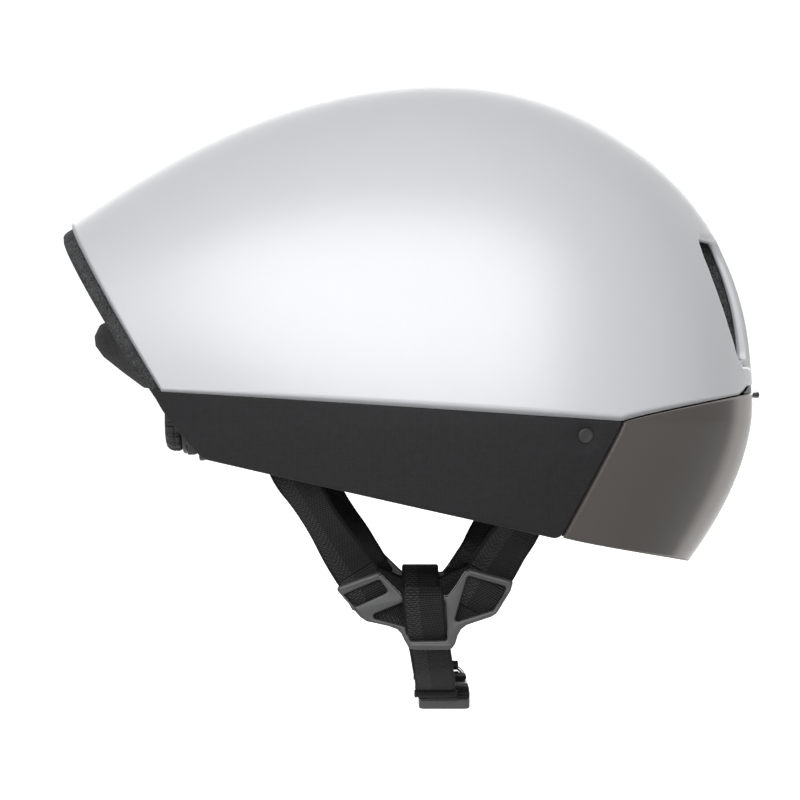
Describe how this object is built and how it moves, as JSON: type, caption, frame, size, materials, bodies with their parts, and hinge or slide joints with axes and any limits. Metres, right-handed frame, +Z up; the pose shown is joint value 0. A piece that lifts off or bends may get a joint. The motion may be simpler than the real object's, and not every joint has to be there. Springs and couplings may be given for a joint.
{
  "type": "aero time trial helmet",
  "caption": "Long-tailed aero cycling helmet with a smooth shell, two front vents, woven ear covers, a magnetic tinted visor, a rear fit dial and chin straps with a buckle",
  "frame": {"origin": "middle of the head opening, level with the brow, on the plane of symmetry", "axes": "+X forward to the nose, +Y to the wearer's left, +Z up to the crown"},
  "size_m": [0.2982, 0.208, 0.2647],
  "materials": {
    "shell_white": "satin white moulded shell",
    "liner_foam": "dark grey beaded foam",
    "cover_fabric": "fine woven charcoal fabric over a thin panel",
    "visor_tint": "smoke tinted polished lens",
    "black_plastic": "moulded black nylon",
    "dial_rubber": "soft grip dial",
    "magnet_metal": "plated magnets",
    "pad_fabric": "brushed padding",
    "webbing": "ribbed polyester webbing",
    "divider_plastic": "satin dark grey nylon",
    "buckle_plastic": "satin black nylon"
  },
  "bodies": {
    "helmet": {"outer_shell": "shell_white", "foam_liner": "liner_foam", "tail_bridge": "liner_foam", "ear_cover_right": "cover_fabric", "ear_cover_left": "cover_fabric", "cover_rivets": "black_plastic", "helmet_magnets": "magnet_metal", "headband": "black_plastic", "brow_pad": "pad_fabric", "crown_pad": "pad_fabric", "side_pad_right": "pad_fabric", "side_pad_left": "pad_fabric", "height_rail": "black_plastic", "rear_strap_right": "webbing", "rear_strap_left": "webbing", "front_strap_right": "webbing", "front_strap_left": "webbing", "strap_anchors": "black_plastic", "divider_right": "divider_plastic", "divider_left": "divider_plastic", "chin_strap_right": "webbing", "chin_strap_left": "webbing", "buckle_socket": "buckle_plastic"},
    "visor": {"visor_lens": "visor_tint", "visor_tab": "black_plastic", "visor_magnets": "magnet_metal"},
    "cradle": {"cradle": "black_plastic", "dial_housing": "black_plastic", "nape_pads": "pad_fabric"},
    "dial": {"fit_dial": "dial_rubber", "dial_pinion": "black_plastic"},
    "arm_right": {"arm_right": "black_plastic"},
    "arm_left": {"arm_left": "black_plastic"},
    "tongue": {"buckle_tongue": "buckle_plastic", "strap_tail": "webbing"}
  },
  "joints": [
    {"name": "visor_lift_off", "type": "slide", "parent": "helmet", "child": "visor", "axis": [1, 0, 0], "range_m": [0, 0.09]},
    {"name": "cradle_height", "type": "slide", "parent": "helmet", "child": "cradle", "axis": [0, 0, 1], "range_m": [-0.01, 0.003]},
    {"name": "dial_turn", "type": "hinge", "parent": "cradle", "child": "dial", "pos_m": [-0.115, 0, -0.008], "axis": [-1, 0, 0], "range_deg": [0, 156.26]},
    {"name": "arm_right_slide", "type": "slide", "parent": "cradle", "child": "arm_right", "axis": [0, 1, 0], "range_m": [0, 0.015]},
    {"name": "arm_left_slide", "type": "slide", "parent": "cradle", "child": "arm_left", "axis": [0, -1, 0], "range_m": [0, 0.015]},
    {"name": "buckle_release", "type": "slide", "parent": "helmet", "child": "tongue", "axis": [0, 1, 0], "range_m": [0, 0.022], "deforming": ["chin_strap_left"]}
  ],
  "couplings": [
    {"joint": "arm_right_slide", "follows": "dial_turn", "m_per_rad": 0.0055},
    {"joint": "arm_left_slide", "follows": "dial_turn", "m_per_rad": 0.0055}
  ]
}
